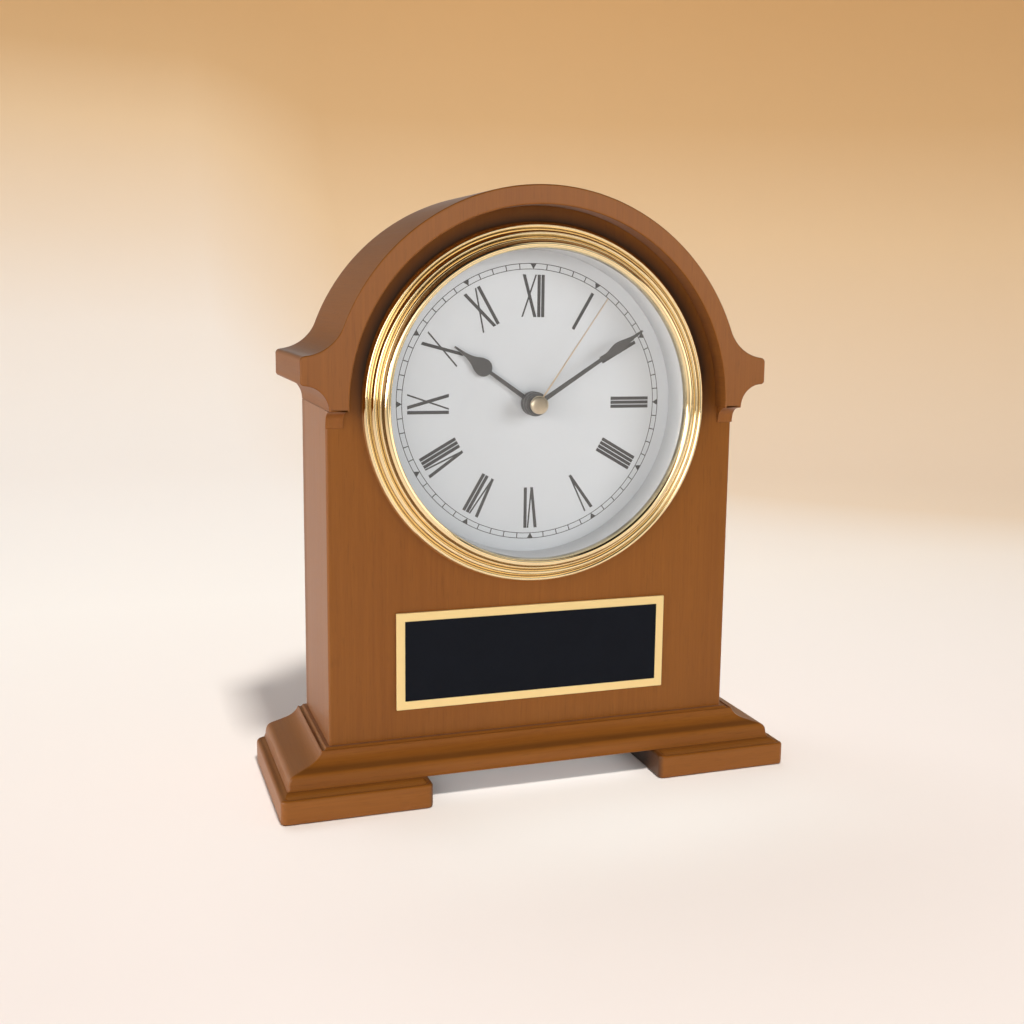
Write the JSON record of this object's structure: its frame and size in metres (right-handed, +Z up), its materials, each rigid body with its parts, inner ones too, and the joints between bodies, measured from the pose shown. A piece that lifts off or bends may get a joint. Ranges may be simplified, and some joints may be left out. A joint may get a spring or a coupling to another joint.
{
  "type": "mantel clock",
  "caption": "Wooden mantel clock: arched hood with side ears over a round brass bezel and glazed Roman dial, blank name plate, moulded base on two feet, quartz movement.",
  "frame": {"origin": "on the table under the middle of the whole footprint, midway between the feet front to back and side to side", "axes": "+Z up, +X to the right of someone facing the dial, +Y from the dial towards the back; the dial faces -Y"},
  "size_m": [0.1902, 0.0676, 0.2143],
  "materials": {
    "wood_case": "satin stained wood with a fine vertical grain",
    "wood_hood": "satin stained wood",
    "wood_base": "satin stained wood, grain along the mouldings",
    "wood_plain": "bare softwood, unfinished",
    "felt": "dark felt",
    "steel_screw": "zinc plated",
    "brass_screw": "bright",
    "bezel_brass": "polished and lacquered",
    "lens_glass": "clear mineral glass",
    "gasket": "matt black",
    "dial_wall": "silvered",
    "dial_face": "matt silver white with dark printing",
    "cup": "grey",
    "bracket_steel": "zinc plated spring steel",
    "hand_dark": "dark grey satin",
    "hand_gold": "gold coloured",
    "movement_black": "black moulded plastic",
    "cell_wrap": "plain printed wrap",
    "contact_steel": "nickel plated",
    "board_green": "laminate board",
    "crystal_can": "bright can",
    "bobbin": "moulded plastic",
    "copper": "enamelled copper wire",
    "soft_iron": "bare",
    "magnet": "magnet on a plastic pinion",
    "gear_white": "natural acetal",
    "gear_brass": "cut brass",
    "knob_black": "black moulded plastic",
    "tape": "double sided mounting tape",
    "plate_gold": "satin gold",
    "plate_black": "gloss black"
  },
  "bodies": {
    "case": {"foot_left": "wood_base", "foot_right": "wood_base", "foot_pads": "felt", "foot_screws": "steel_screw", "base_moulding": "wood_base", "base_screws": "steel_screw", "front_panel": "wood_case", "side_left": "wood_case", "side_right": "wood_case", "arch_hood": "wood_hood", "hood_dowels": "wood_plain", "corbel_left": "wood_hood", "corbel_right": "wood_hood", "glue_blocks": "wood_plain", "back_panel": "wood_case", "back_screws": "brass_screw", "bezel": "bezel_brass", "lens": "lens_glass", "lens_gasket": "gasket", "dial_ring": "dial_wall", "dial": "dial_face", "insert_cup": "cup", "clamp_brackets": "bracket_steel", "bracket_screws": "steel_screw", "movement_case_front": "movement_black", "movement_case_back": "movement_black", "movement_screws": "steel_screw", "battery": "cell_wrap", "contact_pos": "contact_steel", "contact_neg": "contact_steel", "circuit_board": "board_green", "quartz_crystal": "crystal_can", "coil_bobbin": "bobbin", "coil_winding": "copper", "stator": "soft_iron", "nameplate_tape": "tape", "nameplate_border": "plate_gold", "nameplate": "plate_black"},
    "minute": {"minute_hand": "hand_dark", "minute_pipe": "gear_brass", "friction_washer": "steel_screw"},
    "hour": {"hour_hand": "hand_dark", "hour_wheel": "gear_white"},
    "reduction": {"reduction_wheel": "gear_white"},
    "knob": {"setting_knob": "knob_black"},
    "second": {"second_hand": "hand_gold", "second_cap": "hand_gold", "second_wheel": "gear_white"},
    "intermediate": {"intermediate_wheel": "gear_white"},
    "motor_rotor": {"rotor": "magnet"},
    "third": {"third_wheel": "gear_white"},
    "centre": {"centre_wheel": "gear_brass"}
  },
  "joints": [
    {"name": "minute_turn", "type": "hinge", "parent": "case", "child": "minute", "pos_m": [0, 0, 0.1383], "axis": [0, 1, 0], "continuous": true},
    {"name": "hour_turn", "type": "hinge", "parent": "case", "child": "hour", "pos_m": [0, 0, 0.1383], "axis": [0, 1, 0], "continuous": true},
    {"name": "reduction_turn", "type": "hinge", "parent": "case", "child": "reduction", "pos_m": [-0.00707, 0, 0.14537], "axis": [0, 1, 0], "continuous": true},
    {"name": "knob_turn", "type": "hinge", "parent": "case", "child": "knob", "pos_m": [-0.00998, 0, 0.15624], "axis": [0, 1, 0], "continuous": true},
    {"name": "second_turn", "type": "hinge", "parent": "case", "child": "second", "pos_m": [0, 0, 0.1383], "axis": [0, 1, 0], "continuous": true},
    {"name": "intermediate_turn", "type": "hinge", "parent": "case", "child": "intermediate", "pos_m": [-0.00861, 0, 0.13583], "axis": [0, 1, 0], "continuous": true},
    {"name": "rotor_turn", "type": "hinge", "parent": "case", "child": "motor_rotor", "pos_m": [-0.01629, 0, 0.13583], "axis": [0, 1, 0], "continuous": true},
    {"name": "third_turn", "type": "hinge", "parent": "case", "child": "third", "pos_m": [0.00636, 0, 0.14466], "axis": [0, 1, 0], "continuous": true},
    {"name": "centre_turn", "type": "hinge", "parent": "case", "child": "centre", "pos_m": [0, 0, 0.1383], "axis": [0, 1, 0], "continuous": true}
  ],
  "couplings": [
    {"joint": "hour_turn", "follows": "minute_turn", "ratio": 0.083333},
    {"joint": "reduction_turn", "follows": "minute_turn", "ratio": -0.33333},
    {"joint": "knob_turn", "follows": "minute_turn", "ratio": 0.66667},
    {"joint": "intermediate_turn", "follows": "second_turn", "ratio": -6},
    {"joint": "rotor_turn", "follows": "second_turn", "ratio": 30},
    {"joint": "third_turn", "follows": "second_turn", "ratio": -0.13333},
    {"joint": "centre_turn", "follows": "second_turn", "ratio": 0.016667}
  ]
}
